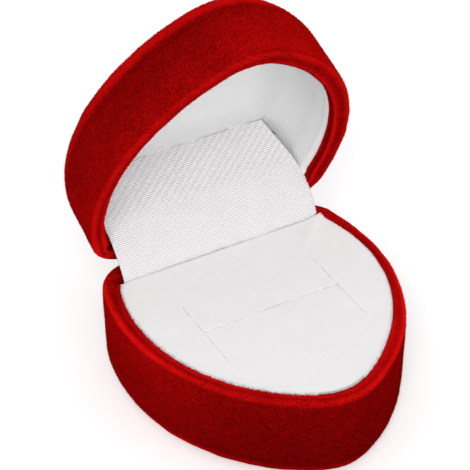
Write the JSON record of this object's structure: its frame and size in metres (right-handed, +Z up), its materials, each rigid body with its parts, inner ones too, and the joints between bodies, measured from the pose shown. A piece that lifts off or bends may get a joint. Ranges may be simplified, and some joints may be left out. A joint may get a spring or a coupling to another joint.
{
  "type": "valentine heart box",
  "caption": "Heart-shaped velvet jewellery box with a hinged lid, satin-lined inside and a die-cut white pad in the base.",
  "frame": {"origin": "middle of the flat underside of the base, halfway between the tip and the backs of the lobes", "axes": "X along the hinge, +Y from the tip of the heart towards the hinge, +Z up; at rest the lid stands open"},
  "size_m": [0.0568, 0.071, 0.0779],
  "materials": {
    "red_velvet": "short-pile flocked velvet",
    "shell_plastic": "matt moulded",
    "white_satin": "ribbed satin",
    "white_flock": "flocked, matt",
    "white_felt": "soft non-woven",
    "foam": "open foam",
    "card": "grey board",
    "hinge_steel": "nickel plated",
    "spring_steel": "blued spring steel",
    "rivet_brass": "plain"
  },
  "bodies": {
    "base": {"base_shell": "shell_plastic", "base_velvet": "red_velvet", "pad_foam": "foam", "pad_card": "card", "pad_cover": "white_flock", "base_hinge_leaf": "hinge_steel", "base_leaf_rivets": "rivet_brass", "snap_spring": "spring_steel", "hinge_pin": "hinge_steel", "hinge_cover": "white_satin"},
    "lid": {"lid_shell": "shell_plastic", "lid_velvet": "red_velvet", "lid_hinge_leaf": "hinge_steel", "lid_leaf_rivets": "rivet_brass", "lid_tray": "card", "lid_lining": "white_satin", "lid_ceiling_panel": "white_felt", "lid_back_card": "white_satin"}
  },
  "joints": [
    {"name": "lid_hinge", "type": "hinge", "parent": "base", "child": "lid", "pos_m": [0, 0.0282, 0.02095], "axis": [-1, 0, 0], "range_deg": [-69, 0], "deforming": ["hinge_cover"]}
  ]
}
